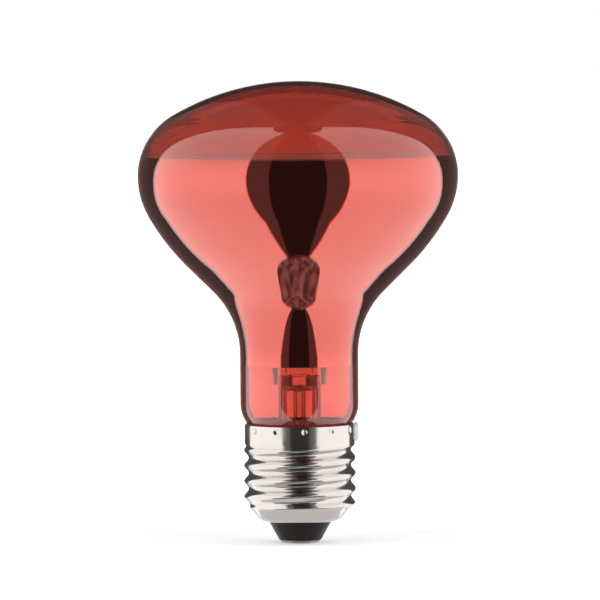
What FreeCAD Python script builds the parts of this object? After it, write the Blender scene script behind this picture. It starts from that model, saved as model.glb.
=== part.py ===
import FreeCAD, Part
import math
import os
import re
import Sketcher
from FreeCAD import Placement, Rotation, Vector

# Infrared heat lamp: a blown reflector bulb on a screw cap, with its glass mount, wires and
# filament inside. Millimetres and degrees; +Z runs up the lamp's axis from the tip of the
# centre contact, and +X points to the side solder.

SIZES = {
    # bulb, outside
    "bulb_radius": 37.8,
    "dome_rise": 22.3,
    "shoulder_radius": 16.6,
    "belly_radius": 19.6,
    "belly_angle": 30.2,
    "side_radius": 56.0,
    "cone_angle": 45.3,
    "cone_ratio": 0.5,
    "neck_radius": 14.0,
    "neck_run": 11.57,
    "tuck_above_rim": 4.9,
    "tuck_radius": 8.0,
    "tuck_angle": 45.0,
    "heel_radius": 3.5,
    "seal_height": 13.2,
    "glass_wall": 1.0,
    # glass mount
    "tube_radius": 5.0,
    "tube_wall": 1.0,
    "exhaust_radius": 1.5,
    "exhaust_wall": 0.6,
    "exhaust_tip": 10.4,
    "tube_top": 39.5,
    "tube_roof": 2.2,
    "press_width": 13.0,
    "press_thickness": 4.2,
    "press_foot": 37.5,
    "press_height": 11.0,
    "arbor_radius": 1.6,
    "button_fillet": 0.6,
    "button_edge": 1.3,
    "button_below_filament": 12.1,
    # wires
    "lead_offset": 3.1,
    "seal_wire_foot": 40.5,
    "seal_wire_length": 5.0,
    "seal_wire_radius": 0.25,
    "inner_lead_radius": 0.4,
    "inner_lead_bend": 2.0,
    "inner_lead_angle": 40.0,
    "inner_lead_ratio": 0.415,
    "inner_lead_tail": 0.7,
    "centre_lead_radius": 0.2,
    "centre_lead_bend": 1.0,
    "centre_lead_angle": 70.0,
    "centre_lead_turn_height": 9.3,
    "side_lead_radius": 0.15,
    "side_lead_bend": 1.0,
    "side_lead_level": 8.6,
    "side_lead_gap": 0.4,
    "side_lead_lift_below_rim": 3.8,
    "side_lead_angle": 22.0,
    "side_lead_rim_bend": 0.5,
    "side_lead_below_rim": 0.25,
    "side_lead_overhang": 0.5,
    # filament and its supports
    "filament_height": 78.0,
    "filament_ring": 12.0,
    "filament_radius": 0.4,
    "filament_gap_angle": 70.0,
    "clamp_clearance": 0.02,
    "support_radius": 0.15,
    "support_count": 4,
    "support_root": 2.0,
    "support_bend": 1.5,
    "support_angle": 60.0,
    "eye_clearance": 0.15,
    "eye_angle": 320.0,
    # screw cap
    "rim_height": 28.1,
    "collar_radius": 13.0,
    "sheet": 0.3,
    "collar_height": 4.5,
    "thread_crest": 13.18,
    "thread_root": 12.12,
    "thread_pitch": 3.629,
    "thread_crest_height": 16.55,
    "thread_run_in": 1.0,
    "knee_height": 10.4,
    "knee_radius": 2.5,
    "foot_angle": 38.0,
    "thread_foot": 7.8,
    "thread_run_out": 1.6,
    "foot_radius": 3.0,
    "lip_height": 5.15,
    "lip_run": 0.35,
    "punch_count": 12,
    "punch_below_rim": 1.6,
    "punch_radius": 0.9,
    "punch_depth": 0.35,
    "punch_first_angle": 5.3,
    "notch_width": 0.6,
    "notch_depth": 0.55,
    # insulator, contacts, solder and cement
    "insulator_foot": 0.75,
    "insulator_foot_radius": 4.95,
    "insulator_top": 7.0,
    "insulator_bore": 1.0,
    "contact_radius": 4.65,
    "contact_edge": 0.4,
    "contact_height": 0.25,
    "solder_radius": 2.6,
    "solder_edge": 0.25,
    "drop_above_rim": 0.5,
    "drop_height": 4.8,
    "drop_radius": 1.2,
    "drop_sink": 0.3,
    "cement_below_rim": 0.9,
    "cement_depth": 3.2,
}

# Places that follow from the sizes, written as expressions in them.
PLACES = {
    "crown_reach": "bulb_radius - shoulder_radius",
    "crown_radius": "(crown_reach^2 + dome_rise^2 - shoulder_radius^2)"
                    " / (2 * (dome_rise - shoulder_radius))",
    "crown_angle": "atan(crown_reach / (crown_radius - dome_rise)) / 1 deg",
    "cone_reach": "bulb_radius - neck_radius - belly_radius * (1 - cos(belly_angle))"
                  " - side_radius * (cos(belly_angle) - cos(cone_angle))",
    "cone_run": "cone_ratio * cone_reach / sin(cone_angle)",
    "flare_radius": "(1 - cone_ratio) * cone_reach / (1 - cos(cone_angle))",
    "tuck_height": "rim_height + tuck_above_rim",
    "bulb_top": "tuck_height + neck_run + flare_radius * sin(cone_angle)"
                " + cone_run * cos(cone_angle)"
                " + side_radius * (sin(cone_angle) - sin(belly_angle))"
                " + belly_radius * sin(belly_angle) + dome_rise",
    "shank_radius": "neck_radius - (tuck_radius + heel_radius) * (1 - cos(tuck_angle))",
    "shank_top": "tuck_height - (tuck_radius + heel_radius) * sin(tuck_angle)",
    "shank_bore": "shank_radius - glass_wall",
    "tube_bore": "tube_radius - tube_wall",
    "exhaust_bore": "exhaust_radius - exhaust_wall",
    "tube_gap": "(tube_bore - exhaust_radius) / 2",
    "cavity_top": "tube_top - tube_roof - tube_gap",
    "press_top": "press_foot + press_height",
    "button_height": "filament_height - button_below_filament",
    "arbor_length": "button_height - press_top - button_fillet - button_edge",
    "seal_wire_top": "seal_wire_foot + seal_wire_length",
    "lead_x": "filament_ring * sin(filament_gap_angle / 2)",
    "lead_y": "filament_ring * cos(filament_gap_angle / 2)",
    "lead_reach": "sqrt((lead_x - lead_offset)^2 + lead_y^2)",
    "lead_swing": "atan(lead_y / (lead_x - lead_offset)) / 1 deg",
    "lead_slant": "(lead_reach - 2 * inner_lead_bend * (1 - cos(inner_lead_angle)))"
                  " / sin(inner_lead_angle)",
    "lead_upright": "filament_height + filament_radius + inner_lead_tail - seal_wire_top"
                    " - 2 * inner_lead_bend * sin(inner_lead_angle)"
                    " - lead_slant * cos(inner_lead_angle)",
    "clamp_angle": "asin((inner_lead_radius + clamp_clearance) / filament_ring) / 1 deg",
    "eye_radius": "filament_radius + eye_clearance + support_radius",
    "support_slant": "(button_below_filament - eye_radius * cos(support_angle)"
                     " - support_bend * (1 - cos(support_angle))) / sin(support_angle)",
    "support_run": "filament_ring + eye_radius * sin(support_angle) - support_root"
                   " - support_bend * sin(support_angle) - support_slant * cos(support_angle)",
    "collar_foot": "rim_height - collar_height",
    "thread_mean": "(thread_crest + thread_root) / 2",
    "foot_top_radius": "thread_mean - knee_radius * (1 - cos(foot_angle))"
                       " - (knee_height - knee_radius * sin(foot_angle) - thread_foot)"
                       " * tan(foot_angle)",
    "foot_bend_height": "lip_height + foot_radius * (1 - sin(foot_angle))",
    "foot_drop": "thread_foot - foot_bend_height",
    "lip_radius": "foot_top_radius - foot_drop * tan(foot_angle)"
                  " - foot_radius * cos(foot_angle) - lip_run",
    "side_lead_x": "thread_root - sheet - side_lead_gap - side_lead_radius",
    "side_lead_lift_height": "rim_height - side_lead_lift_below_rim",
    "side_lead_slant": "(side_lead_lift_below_rim - side_lead_below_rim"
                       " - side_lead_bend * sin(side_lead_angle)"
                       " - side_lead_rim_bend * (1 - sin(side_lead_angle)))"
                       " / cos(side_lead_angle)",
    "side_lead_over": "collar_radius + side_lead_overhang - side_lead_x"
                      " - side_lead_bend * (1 - cos(side_lead_angle))"
                      " - side_lead_slant * sin(side_lead_angle)"
                      " - side_lead_rim_bend * cos(side_lead_angle)",
    "centre_lead_slant": "(lead_offset - 2 * centre_lead_bend * (1 - cos(centre_lead_angle)))"
                         " / sin(centre_lead_angle)",
    "centre_lead_low": "centre_lead_turn_height - 2 * centre_lead_bend * sin(centre_lead_angle)"
                       " - centre_lead_slant * cos(centre_lead_angle)",
}

document = FreeCAD.newDocument("heat_lamp")


def make_sheet():
    """The sheet of driving sizes, one named cell each."""
    sheet = document.addObject("Spreadsheet::Sheet", "Sizes")
    for row, (name, value) in enumerate(SIZES.items(), start=1):
        sheet.set("A%d" % row, name)
        sheet.set("B%d" % row, str(value))
        sheet.setAlias("B%d" % row, name)
    document.recompute()
    return sheet


sizes = make_sheet()


def bound(text):
    """An expression with each size and place in it spelled out in cells of the sheet."""
    def spell(match):
        word = match.group(0)
        if word in PLACES:
            return "(%s)" % bound(PLACES[word])
        return "Sizes." + word if word in SIZES else word
    return re.sub(r"[a-z][a-z_]*", spell, text)


def value(text):
    """The number that an expression has now."""
    return float(sizes.evalExpression(bound(text).replace("Sizes.", "")))


def tie(thing, path, text):
    """Bind a property to an expression in the sizes."""
    thing.setExpression(path, bound(text))


def place(thing, x="0", y="0", z="0", turn="0"):
    """Set an object on the lamp's frame, turned about the vertical."""
    thing.Placement = Placement(Vector(value(x), value(y), value(z)),
                                Rotation(Vector(0, 0, 1), value(turn)))
    tie(thing, "Placement.Base.x", x)
    tie(thing, "Placement.Base.y", y)
    tie(thing, "Placement.Base.z", z)
    if turn != "0":
        tie(thing, "Placement.Rotation.Angle", turn)


class Outline:
    """A chain of straight runs and arcs on one plane of a body, fully constrained.

    Consecutive pieces are tangent, except across a corner. Lengths, radii and angles are
    expressions; left and right are seen along the way of travel.
    """

    def __init__(self, body, name, plane="XZ_Plane"):
        self.sketch = body.newObject("Sketcher::SketchObject", name)
        base = next(f for f in body.Origin.OriginFeatures if f.Role == plane)
        self.sketch.AttachmentSupport = [(base, "")]
        self.sketch.MapMode = "FlatFace"

    def limit(self, text, *constraint):
        index = self.sketch.addConstraint(Sketcher.Constraint(*constraint))
        tie(self.sketch, "Constraints[%d]" % index, text)

    def join(self, *constraint):
        self.sketch.addConstraint(Sketcher.Constraint(*constraint))

    def pin(self, geometry, end, x, y):
        """Hold one end of a piece at a given point."""
        for axis, kind, text in ((-2, "DistanceX", x), (-1, "DistanceY", y)):
            if text == "0":
                self.join("PointOnObject", geometry, end, axis)
            else:
                self.limit(text, kind, -1, 1, geometry, end, value(text))

    def start(self, x, y, heading):
        """Begin at a point, with a heading in degrees from the horizontal."""
        self.home = (x, y)
        self.point = Vector(value(x), value(y), 0)
        self.heading = heading
        self.first = self.last = None
        self.smooth = False
        return self

    def link(self, geometry, end, straight):
        """Join a new piece to the one before it, or to the starting point."""
        if self.last is not None and self.smooth:
            self.join("Tangent", *self.last, geometry, end)
            return
        if self.last is None:
            self.first = (geometry, end)
            self.pin(geometry, end, *self.home)
        else:
            self.join("Coincident", *self.last, geometry, end)
        level = abs(math.sin(math.radians(value(self.heading)))) < 1e-9
        upright = abs(math.cos(math.radians(value(self.heading)))) < 1e-9
        if straight and (level or upright):
            self.join("Horizontal" if level else "Vertical", geometry)
        elif straight:
            self.limit(self.heading, "Angle", geometry, math.radians(value(self.heading)))
        else:
            self.join("Vertical" if level else "Horizontal", geometry, 3, geometry, end)

    def ahead(self, length):
        angle = math.radians(value(self.heading))
        return self.point + Vector(math.cos(angle), math.sin(angle), 0) * length

    def run(self, length):
        """Go straight on by a length."""
        end = self.ahead(value(length))
        line = self.sketch.addGeometry(Part.LineSegment(self.point, end), False)
        self.link(line, 1, True)
        self.limit(length, "Distance", line, value(length))
        self.point, self.last, self.smooth = end, (line, 2), True
        return self

    def run_to(self, height):
        """Go straight on up or down to a height."""
        angle = math.radians(value(self.heading))
        end = self.ahead((value(height) - self.point.y) / math.sin(angle))
        line = self.sketch.addGeometry(Part.LineSegment(self.point, end), False)
        self.link(line, 1, True)
        self.limit(height, "DistanceY", -1, 1, line, 2, value(height))
        self.point, self.last, self.smooth = end, (line, 2), True
        return self

    def cut_to(self, x, y):
        """Draw a straight edge to a point, with a corner at both ends."""
        end = Vector(value(x), value(y), 0)
        line = self.sketch.addGeometry(Part.LineSegment(self.point, end), False)
        if self.last is None:
            self.first = (line, 1)
            self.pin(line, 1, *self.home)
        else:
            self.join("Coincident", *self.last, line, 1)
        self.pin(line, 2, x, y)
        self.point, self.last, self.smooth = end, (line, 2), False
        return self

    def bend(self, radius, turn, side):
        """Go round an arc; side is +1 to the left and -1 to the right."""
        size, swing = value(radius), math.radians(value(turn)) * side
        angle = math.radians(value(self.heading))
        centre = self.point + Vector(-math.sin(angle), math.cos(angle), 0) * size * side
        begin = angle - side * math.pi / 2
        circle = Part.Circle(centre, Vector(0, 0, 1), size)
        arc = Part.ArcOfCircle(circle, min(begin, begin + swing), max(begin, begin + swing))
        arc = self.sketch.addGeometry(arc, False)
        self.link(arc, 1 if side > 0 else 2, False)
        self.limit(radius, "Radius", arc, size)
        self.limit(turn, "Angle", arc, abs(swing))
        self.point = centre + Vector(math.cos(begin + swing), math.sin(begin + swing), 0) * size
        self.heading = "%s %s (%s)" % (self.heading, "+" if side > 0 else "-", turn)
        self.last, self.smooth = (arc, 2 if side > 0 else 1), True
        return self

    def left(self, radius, turn):
        return self.bend(radius, turn, 1)

    def right(self, radius, turn):
        return self.bend(radius, turn, -1)

    def face(self, heading):
        """Turn on the spot to a new heading, leaving a corner."""
        self.heading, self.smooth = heading, False
        return self

    def close(self):
        """Close the outline with a straight edge."""
        begin = self.sketch.getPoint(*self.first)
        line = self.sketch.addGeometry(Part.LineSegment(self.point, begin), False)
        self.join("Coincident", *self.last, line, 1)
        self.join("Coincident", line, 2, *self.first)
        return self.sketch

    def close_round(self):
        """Close the outline with a half turn to the left."""
        begin = self.sketch.getPoint(*self.first)
        size = (begin - self.point).Length / 2
        angle = math.radians(value(self.heading)) - math.pi / 2
        circle = Part.Circle((begin + self.point) / 2, Vector(0, 0, 1), size)
        arc = Part.ArcOfCircle(circle, angle, angle + math.pi)
        arc = self.sketch.addGeometry(arc, False)
        self.join("Tangent", *self.last, arc, 1)
        self.join("Coincident", arc, 2, *self.first)
        return self.sketch

    def circle(self, radius, x="0"):
        """A circle with its centre on the sketch's level axis."""
        ring = Part.Circle(Vector(value(x), 0, 0), Vector(0, 0, 1), value(radius))
        ring = self.sketch.addGeometry(ring, False)
        self.pin(ring, 3, x, "0")
        self.limit(radius, "Radius", ring, value(radius))
        return self.sketch


def new_body(label):
    body = document.addObject("PartDesign::Body", label)
    body.Label = label
    return body


def turned(body, sketch):
    """Turn a section about the lamp's axis."""
    feature = body.newObject("PartDesign::Revolution", sketch.Name + "_turned")
    feature.Profile = sketch
    feature.ReferenceAxis = (sketch, ["V_Axis"])
    feature.Angle = 360
    return body


def wire(label, radius, path, plane="XY_Plane"):
    """Sweep a round wire along an open path that starts at the body's own origin."""
    body = new_body(label)
    section = Outline(body, label + "_section", plane).circle(radius)
    spine = path(Outline(body, label + "_path")).sketch
    pipe = body.newObject("PartDesign::AdditivePipe", label + "_swept")
    pipe.Profile = section
    pipe.Spine = (spine, ["Edge%d" % (i + 1) for i in range(spine.GeometryCount)])
    return body


def primitive(kind, label, **bindings):
    thing = document.addObject(kind, label)
    thing.Label = label
    for name, text in bindings.items():
        tie(thing, name, text)
    return thing


def fused(label, things):
    fuse = document.addObject("Part::MultiFuse", label)
    fuse.Label = label
    fuse.Shapes = things
    return fuse


def cut(label, base, tool):
    result = document.addObject("Part::Cut", label)
    result.Label = label
    result.Base = base
    result.Tool = tool
    return result


# ---- glass bulb

def bulb_skin(outline, depth):
    """The bulb's skin from the top of the dome to the end of the shank, at a depth in the wall."""
    convex, concave = " - " + depth, " + " + depth
    outline.right("crown_radius" + convex, "crown_angle")
    outline.right("shoulder_radius" + convex, "90 - crown_angle")
    outline.right("belly_radius" + convex, "belly_angle")
    outline.right("side_radius" + convex, "cone_angle - belly_angle")
    outline.run("cone_run")
    outline.left("flare_radius" + concave, "cone_angle")
    outline.run("neck_run")
    outline.right("tuck_radius" + convex, "tuck_angle")
    outline.left("heel_radius" + concave, "tuck_angle")
    return outline.run("shank_top - seal_height")


def bulb_blank(label, depth):
    """A solid form with the bulb's skin at a depth in the wall."""
    body = new_body(label)
    outline = Outline(body, label + "_outline")
    bulb_skin(outline.start("0", "bulb_top - " + depth, "0"), depth)
    outline.cut_to("0", "seal_height")
    return turned(body, outline.close())


def glass_envelope():
    return cut("glass_envelope", bulb_blank("bulb_form", "0"),
               bulb_blank("bulb_hollow", "glass_wall"))


# ---- glass mount: rolled foot, tube with its exhaust tube, pinched press, rod and button

def stem_blank():
    body = new_body("stem_blank")
    outline = Outline(body, "stem_tubes")
    outline.start("shank_radius", "seal_height", "-90")
    outline.right("(shank_radius - tube_bore) / 2", "180")
    outline.run("cavity_top - seal_height")
    outline.left("tube_gap", "180")
    outline.run("cavity_top - exhaust_tip - exhaust_radius")
    outline.right("exhaust_radius", "90")
    outline.cut_to("0", "exhaust_tip + exhaust_wall").face("0")
    outline.left("exhaust_bore", "90")
    outline.run("cavity_top - exhaust_tip - exhaust_radius")
    outline.left("exhaust_bore", "90")
    outline.cut_to("0", "tube_top")
    outline.cut_to("tube_radius", "tube_top").face("-90")
    outline.run("tube_top - seal_height")
    outline.left("(shank_bore - tube_radius) / 2", "180")
    turned(body, outline.close())

    press = Outline(body, "press_section", "XY_Plane")
    press.start("-(press_width - press_thickness) / 2", "-press_thickness / 2", "0")
    press.run("press_width - press_thickness").left("press_thickness / 2", "180")
    press.run("press_width - press_thickness").close_round()
    tie(press.sketch, "AttachmentOffset.Base.z", "press_foot")
    pad = body.newObject("PartDesign::Pad", "press_pinch")
    pad.Profile = press.sketch
    tie(pad, "Length", "press_height")

    arbor = Outline(body, "arbor_section").start("0", "press_top - press_thickness / 2", "0")
    arbor.cut_to("arbor_radius", "press_top - press_thickness / 2").face("90")
    arbor.run("arbor_length + press_thickness / 2")
    arbor.right("button_fillet", "90").left("button_edge", "180")
    arbor.cut_to("0", "button_height + button_edge")
    return turned(body, arbor.close())


# ---- wires

def inner_lead(side, sign):
    """A nickel rod from the press out to one end of the filament."""
    def path(outline):
        outline.start("0", "0", "90").run("inner_lead_ratio * lead_upright")
        outline.right("inner_lead_bend", "inner_lead_angle").run("lead_slant")
        outline.left("inner_lead_bend", "inner_lead_angle")
        return outline.run("(1 - inner_lead_ratio) * lead_upright")
    lead = wire("inner_lead_" + side, "inner_lead_radius", path)
    swing = "-lead_swing" if sign == "" else "180 + lead_swing"
    place(lead, sign + "lead_offset", "0", "seal_wire_top", swing)
    return lead


def seal_wire(side, sign):
    rod = primitive("Part::Cylinder", "seal_wire_" + side,
                    Radius="seal_wire_radius", Height="seal_wire_length")
    place(rod, sign + "lead_offset", "0", "seal_wire_foot")
    return rod


def outer_lead_centre():
    """A copper wire down the tube and in to the centre contact."""
    def path(outline):
        outline.start("0", "0", "-90").run("seal_wire_foot - centre_lead_turn_height")
        outline.left("centre_lead_bend", "centre_lead_angle").run("centre_lead_slant")
        outline.right("centre_lead_bend", "centre_lead_angle")
        return outline.run("centre_lead_low - contact_height")
    lead = wire("outer_lead_centre", "centre_lead_radius", path)
    place(lead, "-lead_offset", "0", "seal_wire_foot")
    return lead


def outer_lead_side():
    """A copper wire down the tube, out under the foot and up over the rim of the collar."""
    def path(outline):
        outline.start("0", "0", "-90")
        outline.run("seal_wire_foot - side_lead_level - side_lead_bend")
        outline.left("side_lead_bend", "90")
        outline.run("side_lead_x - lead_offset - 2 * side_lead_bend")
        outline.left("side_lead_bend", "90")
        outline.run("side_lead_lift_height - side_lead_level - side_lead_bend")
        outline.right("side_lead_bend", "side_lead_angle").run("side_lead_slant")
        outline.right("side_lead_rim_bend", "90 - side_lead_angle")
        return outline.run("side_lead_over")
    lead = wire("outer_lead_side", "side_lead_radius", path)
    place(lead, "lead_offset", "0", "seal_wire_foot")
    return lead


def support_wire(number):
    """A hook from the button, with an eye round the filament."""
    def path(outline):
        outline.start("0", "0", "0").run("support_run")
        outline.left("support_bend", "support_angle").run("support_slant")
        return outline.left("eye_radius", "eye_angle")
    hook = wire("support_wire_%d" % number, "support_radius", path, "YZ_Plane")
    turn = ("-90 + filament_gap_angle / 2 + (360 - filament_gap_angle) * %d / (support_count + 1)"
            % number)
    place(hook, "support_root * cos(%s)" % turn, "support_root * sin(%s)" % turn,
          "button_height", turn)
    return hook


def filament():
    """The coil's outer form: a ring left open between the two leads that clamp its ends."""
    body = new_body("filament")
    section = Outline(body, "filament_section").circle("filament_radius", "filament_ring")
    feature = body.newObject("PartDesign::Revolution", "filament_turned")
    feature.Profile = section
    feature.ReferenceAxis = (section, ["V_Axis"])
    tie(feature, "Angle", "360 - filament_gap_angle - 2 * clamp_angle")
    place(body, "0", "0", "filament_height", "-90 + filament_gap_angle / 2 + clamp_angle")
    return body


# ---- screw cap

def ease(x):
    x = min(max(x, 0.0), 1.0)
    return x * x * (3 - 2 * x)


def thread_middle(z):
    """Radius midway between crest and root, from the collar down to the cap's foot."""
    mean, knee, angle = value("thread_mean"), sizes.knee_radius, math.radians(sizes.foot_angle)
    step = ease((z - value("collar_foot") + sizes.thread_run_in) / sizes.thread_run_in)
    drop = max(sizes.knee_height - z, 0.0)
    if drop < knee * math.sin(angle):
        mean -= knee - math.sqrt(knee ** 2 - drop ** 2)
    else:
        mean -= knee * (1 - math.cos(angle)) + (drop - knee * math.sin(angle)) * math.tan(angle)
    return mean + (sizes.collar_radius - mean) * step


def thread_radius(z, angle):
    """Outer radius of the rolled sheet: a right-hand wave that runs in and out smoothly."""
    run_in = ease((value("collar_foot") - z) / sizes.thread_run_in)
    run_out = ease((z - sizes.thread_foot) / sizes.thread_run_out)
    swing = (sizes.thread_crest - sizes.thread_root) / 2 * run_in * run_out
    turn = 2 * math.pi * (z - sizes.thread_crest_height) / sizes.thread_pitch
    return thread_middle(z) + swing * math.cos(turn - angle)


def rolled_thread():
    """The threaded stretch of the shell, one wall of sheet laid out in flat facets."""
    around, per_pitch, hair = 32, 7, 0.02
    length = value("collar_foot") - sizes.thread_foot
    along = math.ceil(length / sizes.thread_pitch * per_pitch)
    chord = math.cos(math.pi / around)

    def ring(row, inside):
        z = sizes.thread_foot + length * (along - row) / along
        slope = (thread_middle(z + hair) - thread_middle(z - hair)) / (2 * hair)
        depth = sizes.sheet * math.hypot(1, slope)
        corners = []
        for step in range(around):
            angle = 2 * math.pi * step / around
            radius = thread_radius(z, angle) - hair
            if inside:
                radius = (thread_radius(z, angle) - depth + hair) / chord
            corners.append(Vector(radius * math.cos(angle), radius * math.sin(angle), z))
        return corners

    outer = [ring(row, False) for row in range(along + 1)]
    inner = [ring(row, True) for row in range(along + 1)]
    facets = []

    def strip(upper, lower):
        for step in range(around):
            after = (step + 1) % around
            facets.append((upper[step], lower[step], lower[after]))
            facets.append((upper[step], lower[after], upper[after]))

    for skin in (outer, inner):
        for upper, lower in zip(skin, skin[1:]):
            strip(upper, lower)
    strip(outer[0], inner[0])
    strip(outer[-1], inner[-1])
    faces = [Part.Face(Part.makePolygon(list(facet) + [facet[0]])) for facet in facets]
    solid = Part.Solid(Part.makeShell(faces))
    if solid.Volume < 0:
        solid.reverse()
    thread = document.addObject("Part::Feature", "rolled_thread")
    thread.Shape = solid
    return thread


def foot_inside(outline):
    """The inner skin of the shell's foot, from the lip outwards and up."""
    outline.face("0").run("lip_run")
    return outline.left("foot_radius - sheet", "90 - foot_angle")


def shell_foot():
    body = new_body("shell_foot")
    outline = Outline(body, "foot_section")
    outline.start("foot_top_radius", "thread_foot", "-90 - foot_angle")
    outline.run("foot_drop / cos(foot_angle)").right("foot_radius", "90 - foot_angle")
    outline.run("lip_run").face("90").run("sheet")
    foot_inside(outline).run_to("thread_foot")
    return turned(body, outline.close())


def punches(label, radius):
    """Balls set round the collar, where the punch marks go."""
    balls = []
    for number in range(int(sizes.punch_count)):
        ball = primitive("Part::Sphere", "%s_%d" % (label, number + 1), Radius=radius)
        turn = "(punch_first_angle + 360 * %d / punch_count)" % number
        reach = "(collar_radius - punch_depth + punch_radius)"
        place(ball, "%s * cos(%s)" % (reach, turn), "%s * sin(%s)" % (reach, turn),
              "rim_height - punch_below_rim")
        balls.append(ball)
    return fused(label, balls)


def punched_collar():
    """A plain collar with marks punched in from outside and a notch for the side lead."""
    body = new_body("collar_blank")
    outline = Outline(body, "collar_section")
    outline.start("collar_radius - sheet", "collar_foot", "0").run("sheet")
    outline.face("90").run("collar_height").face("180").run("sheet")
    turned(body, outline.close())
    within = primitive("Part::Cylinder", "collar_form", Radius="collar_radius",
                       Height="collar_height")
    place(within, z="collar_foot")
    bumps = document.addObject("Part::Common", "inner_bumps")
    bumps.Base, bumps.Tool = within, punches("bump_balls", "punch_radius + sheet")
    notch = primitive("Part::Box", "rim_notch", Length="4 * sheet", Width="notch_width",
                      Height="2 * notch_depth")
    place(notch, "collar_radius - 2 * sheet", "-notch_width / 2", "rim_height - notch_depth")
    return cut("punched_collar", fused("bumped_collar", [body, bumps]),
               fused("punch_tools", [punches("dent_balls", "punch_radius"), notch]))


def cap_insulator():
    body = new_body("cap_insulator")
    outline = Outline(body, "insulator_section")
    outline.start("insulator_bore", "insulator_foot", "0")
    outline.cut_to("insulator_foot_radius", "insulator_foot")
    outline.cut_to("lip_radius", "lip_height")
    outline.cut_to("lip_radius", "lip_height + sheet")
    foot_inside(outline).run_to("insulator_top")
    outline.cut_to("insulator_bore", "insulator_top")
    return turned(body, outline.close())


def centre_contact():
    body = new_body("centre_contact")
    outline = Outline(body, "contact_section")
    outline.start("centre_lead_radius", "contact_height", "0")
    outline.run("contact_radius - centre_lead_radius - contact_edge").left("contact_edge", "90")
    outline.run_to("insulator_foot")
    outline.cut_to("centre_lead_radius", "insulator_foot")
    return turned(body, outline.close())


def centre_solder():
    body = new_body("centre_solder")
    outline = Outline(body, "solder_section").start("0", "0", "0")
    outline.run("solder_radius - solder_edge").left("solder_edge", "90")
    outline.cut_to("0", "contact_height")
    return turned(body, outline.close())


def side_solder(lead):
    """A drop of solder over the notch, run down the outside of the collar."""
    drop = new_body("solder_drop")
    outline = Outline(drop, "drop_section").start("0", "0", "0")
    outline.left("drop_radius", "90").run("drop_height - 2 * drop_radius")
    outline.left("drop_radius", "90")
    turned(drop, outline.close())
    place(drop, "collar_radius - drop_sink", "0", "rim_height + drop_above_rim - drop_height")
    plug = primitive("Part::Cylinder", "collar_plug", Radius="collar_radius",
                     Height="2 * rim_height")
    return cut("side_solder", drop, fused("solder_tools", [plug, lead]))


def capping_cement(form, bumps, lead):
    """The ring of cement between the bulb's shank and the collar."""
    ring = primitive("Part::Cylinder", "cement_form", Radius="collar_radius - sheet",
                     Height="cement_depth")
    place(ring, z="rim_height - cement_below_rim - cement_depth")
    return cut("capping_cement", ring, fused("cement_tools", [form, bumps, lead]))


def build():
    """Every piece of the lamp, as the objects that carry the pieces' names."""
    envelope = glass_envelope()
    sides = (("left", "-"), ("right", ""))
    inner = [inner_lead(*side) for side in sides]
    seals = [seal_wire(*side) for side in sides]
    centre, side = outer_lead_centre(), outer_lead_side()
    hooks = [support_wire(number + 1) for number in range(int(sizes.support_count))]
    document.recompute()
    stem = cut("glass_stem", stem_blank(),
               fused("embedded_wires", inner + seals + [centre, side] + hooks))
    collar = punched_collar()
    shell = fused("cap_shell", [collar, rolled_thread(), shell_foot()])
    cement = capping_cement(envelope.Base, document.getObject("inner_bumps"), side)
    return [envelope, stem, filament(), shell, cap_insulator(), centre_contact(),
            centre_solder(), side_solder(side), cement,
            centre, side] + inner + seals + hooks


def write(pieces):
    """Check the whole document, then write each piece to a file of its own name."""
    for thing in document.Objects:
        if {"Invalid", "Error"} & set(thing.State):
            raise RuntimeError("%s failed: %s" % (thing.Label, thing.State))
    for piece in pieces:
        shape = piece.Shape
        if shape.isNull() or not shape.isValid() or not shape.Solids:
            raise RuntimeError("%s has no valid solid" % piece.Label)
    os.makedirs("parts", exist_ok=True)
    for piece in pieces:
        piece.Shape.exportStep("parts/%s.step" % piece.Label)
        print("%-20s %8.2f mm3" % (piece.Label, piece.Shape.Volume))


pieces = build()
document.recompute()
write(pieces)
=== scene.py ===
import math

import bpy
import numpy as np
from bpy.props import FloatProperty, FloatVectorProperty, IntProperty, PointerProperty
from bpy.types import Operator, Panel, PropertyGroup
from mathutils import Matrix, Vector


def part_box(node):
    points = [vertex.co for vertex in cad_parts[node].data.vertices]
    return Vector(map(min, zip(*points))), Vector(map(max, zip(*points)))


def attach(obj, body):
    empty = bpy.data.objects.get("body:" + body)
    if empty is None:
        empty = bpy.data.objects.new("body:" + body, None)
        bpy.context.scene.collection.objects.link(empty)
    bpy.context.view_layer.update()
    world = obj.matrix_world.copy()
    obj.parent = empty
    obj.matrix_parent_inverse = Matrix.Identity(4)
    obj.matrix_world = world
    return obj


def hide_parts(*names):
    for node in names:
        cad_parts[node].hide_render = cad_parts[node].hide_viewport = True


bl_info = {
    "name": "Infrared heat lamp bulb",
    "version": (1, 0, 0),
    "blender": (4, 5, 0),
    "location": "3D View > Sidebar > Heat Lamp",
    "description": "Dresses the lamp's frame: blown ruby glass, mirror film, screw shell, coil",
    "category": "Object",
}

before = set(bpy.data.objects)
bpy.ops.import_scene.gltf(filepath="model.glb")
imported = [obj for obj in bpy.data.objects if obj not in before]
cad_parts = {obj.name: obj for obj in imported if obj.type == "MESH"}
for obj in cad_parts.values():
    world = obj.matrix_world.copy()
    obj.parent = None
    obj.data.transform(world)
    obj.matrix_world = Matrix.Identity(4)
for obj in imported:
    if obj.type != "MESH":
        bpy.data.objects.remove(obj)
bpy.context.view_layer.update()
bulb_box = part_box("glass_envelope")
bulb_radius = min(abs(bulb_box[side][axis]) for side in (0, 1) for axis in (0, 1))


# ---- properties

def length(name, description, default):
    return FloatProperty(name=name, description=description, default=default,
                         unit="LENGTH", subtype="DISTANCE", precision=5)


def angle(name, description, default):
    return FloatProperty(name=name, description=description, default=math.radians(default),
                         unit="ROTATION", subtype="ANGLE")


def number(name, description, default):
    return FloatProperty(name=name, description=description, default=default)


def count(name, description, default):
    return IntProperty(name=name, description=description, default=default, min=3)


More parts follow.
